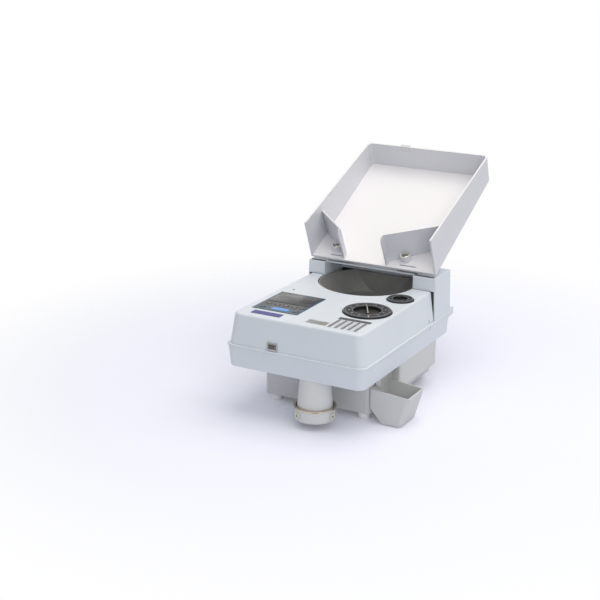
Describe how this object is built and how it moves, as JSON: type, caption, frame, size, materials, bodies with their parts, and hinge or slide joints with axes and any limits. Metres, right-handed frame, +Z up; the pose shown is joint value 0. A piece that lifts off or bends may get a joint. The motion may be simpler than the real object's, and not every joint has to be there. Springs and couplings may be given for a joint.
{
  "type": "coin counting and sorting machine",
  "caption": "Table-top coin counter with a tilting feed tray, round hopper with feed disc, setting dials, display, bag spout and a side box for rejected coins.",
  "frame": {"origin": "centre of the machine's bounding box at floor level", "axes": "+Z up, the front of the machine faces -Y, the reject box is on the +X side"},
  "size_m": [0.2922, 0.5302, 0.3722],
  "materials": {
    "casing": "fine textured ABS, near white",
    "tray_plastic": "moulded ABS, light grey",
    "bowl_plastic": "moulded ABS, grey",
    "box_plastic": "moulded ABS, pale grey",
    "spout_plastic": "moulded ABS, near white",
    "black_plastic": "moulded ABS, black",
    "panel": "glossy printed panel, dark teal grey",
    "strip": "plain film, indigo",
    "chart": "printed film, ruled columns",
    "bright_metal": "bright plated steel",
    "steel": "zinc plated steel",
    "rubber": "moulded rubber",
    "circuit_board": "green board with parts"
  },
  "bodies": {
    "chassis": {"base_pan": "casing", "rubber_feet": "rubber", "lower_shell": "casing", "rear_housing": "casing", "deck_plate": "steel", "hopper_bowl": "bowl_plastic", "disc_bearing": "steel", "drive_motor": "steel", "drive_belt": "rubber", "fixed_rail": "black_plastic", "feed_belt_arm": "steel", "feed_belt": "rubber", "dial_bush": "steel", "coin_sensor": "black_plastic", "stop_solenoid": "steel", "reject_chute": "spout_plastic", "spout": "spout_plastic", "cover_hinge_posts": "steel", "cover_hinge_pins": "bright_metal", "tray_hinge_base": "bright_metal", "tray_hinge_pins": "bright_metal", "tray_rests": "casing", "mains_inlet": "black_plastic", "switch_frame": "black_plastic", "fuse_holder": "black_plastic", "rear_spacers": "casing", "control_board": "circuit_board", "power_board": "circuit_board", "transformer": "steel"},
    "disc": {"feed_disc": "steel", "disc_shaft": "steel", "disc_pulley": "steel"},
    "motor_rotor": {"motor_pulley": "steel"},
    "front_roller": {"front_roller": "rubber"},
    "rear_roller": {"rear_roller": "rubber"},
    "size_rail": {"moving_rail": "black_plastic"},
    "size_dial": {"diameter_dial": "black_plastic", "dial_cam": "steel"},
    "thickness_dial": {"thickness_dial": "black_plastic", "gate_screw": "steel"},
    "gate": {"thickness_gate": "black_plastic"},
    "plunger": {"solenoid_plunger": "steel"},
    "rocker": {"rocker": "black_plastic"},
    "cover": {"top_cover": "casing", "display_panel": "panel", "display_board": "circuit_board", "blank_strip": "strip", "chart_plate": "chart", "latch_bezel": "bright_metal"},
    "latch": {"latch_button": "bright_metal"},
    "tray": {"coin_tray": "tray_plastic", "guide_wing_left": "tray_plastic", "guide_wing_right": "tray_plastic", "tray_hinge_leaves": "bright_metal", "tray_screws": "bright_metal", "rim_clip": "bright_metal"},
    "reject_box": {"reject_box": "box_plastic"},
    "collar": {"bag_collar": "spout_plastic", "collar_ring": "bright_metal", "collar_studs": "spout_plastic"}
  },
  "joints": [
    {"name": "tray_tilt", "type": "hinge", "parent": "chassis", "child": "tray", "pos_m": [-0.0212, 0.03041, 0.19926], "axis": [1, 0, 0], "range_deg": [0, 35]},
    {"name": "cover_open", "type": "hinge", "parent": "chassis", "child": "cover", "pos_m": [-0.0212, 0.00673, 0.166], "axis": [-1, 0, 0], "range_deg": [0, 42]},
    {"name": "size_dial_turn", "type": "hinge", "parent": "chassis", "child": "size_dial", "pos_m": [0.0493, -0.13807, 0.1725], "axis": [0, 0, 1], "range_deg": [0, 200]},
    {"name": "size_rail_shift", "type": "slide", "parent": "chassis", "child": "size_rail", "axis": [1, 0, 0], "range_m": [0, 0.012]},
    {"name": "thickness_dial_turn", "type": "hinge", "parent": "chassis", "child": "thickness_dial", "pos_m": [0.0676, -0.05027, 0.1725], "axis": [0, 0, 1], "range_deg": [0, 270]},
    {"name": "gate_lift", "type": "slide", "parent": "chassis", "child": "gate", "axis": [0, 0, 1], "range_m": [0, 0.003]},
    {"name": "disc_spin", "type": "hinge", "parent": "chassis", "child": "disc", "pos_m": [-0.0262, 0.01623, 0.1236], "axis": [0, 0, 1], "continuous": true},
    {"name": "motor_spin", "type": "hinge", "parent": "chassis", "child": "motor_rotor", "pos_m": [-0.0812, -0.06877, 0.096], "axis": [0, 0, 1], "continuous": true},
    {"name": "front_roller_spin", "type": "hinge", "parent": "chassis", "child": "front_roller", "pos_m": [0.0808, -0.18677, 0.1366], "axis": [1, 0, 0], "continuous": true},
    {"name": "rear_roller_spin", "type": "hinge", "parent": "chassis", "child": "rear_roller", "pos_m": [0.0808, -0.06477, 0.1366], "axis": [1, 0, 0], "continuous": true},
    {"name": "plunger_stroke", "type": "slide", "parent": "chassis", "child": "plunger", "axis": [1, 0, 0], "range_m": [0, 0.006], "stiffness_N_per_m": 120},
    {"name": "rocker_tilt", "type": "hinge", "parent": "chassis", "child": "rocker", "pos_m": [-0.0412, 0.08923, 0.101], "axis": [1, 0, 0], "range_deg": [-8, 8]},
    {"name": "latch_press", "type": "slide", "parent": "cover", "child": "latch", "axis": [0, 1, 0], "range_m": [0, 0.002], "stiffness_N_per_m": 300},
    {"name": "reject_box_pull", "type": "slide", "parent": "chassis", "child": "reject_box", "axis": [1, 0, 0], "range_m": [0, 0.08]},
    {"name": "collar_lift", "type": "slide", "parent": "chassis", "child": "collar", "axis": [0, 0, 1], "range_m": [0, 0.03]}
  ],
  "couplings": [
    {"joint": "size_rail_shift", "follows": "size_dial_turn", "m_per_rad": 0.0034377},
    {"joint": "gate_lift", "follows": "thickness_dial_turn", "m_per_rad": 0.00063662},
    {"joint": "motor_spin", "follows": "disc_spin", "ratio": 3.5263},
    {"joint": "front_roller_spin", "follows": "disc_spin", "ratio": 2.4},
    {"joint": "rear_roller_spin", "follows": "disc_spin", "ratio": 2.4}
  ]
}
